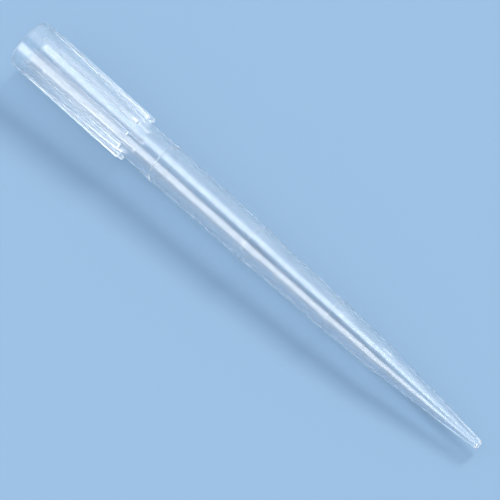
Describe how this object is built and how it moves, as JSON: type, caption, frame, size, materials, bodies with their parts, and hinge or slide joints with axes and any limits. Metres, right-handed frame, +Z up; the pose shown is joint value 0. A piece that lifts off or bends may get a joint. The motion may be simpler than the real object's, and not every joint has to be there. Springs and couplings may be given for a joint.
{
  "type": "pipette tip",
  "caption": "Translucent plastic pipette tip: ribbed collar over a tapered socket, a barrel that narrows in stages with raised volume rings, and a fine open nose.",
  "frame": {"origin": "on the surface that the tip lies on, under the middle of its length and width", "axes": "+X towards the nose, +Z up; the tip's own axis slopes down by 1.6 degrees towards the nose, because the tip lies on two rib ends and its lowest ring"},
  "size_m": [0.1022, 0.0088, 0.0093],
  "materials": {
    "natural_polypropylene": "gloss, translucent"
  },
  "bodies": {
    "root": {"pipette_tip": "natural_polypropylene"}
  },
  "joints": []
}
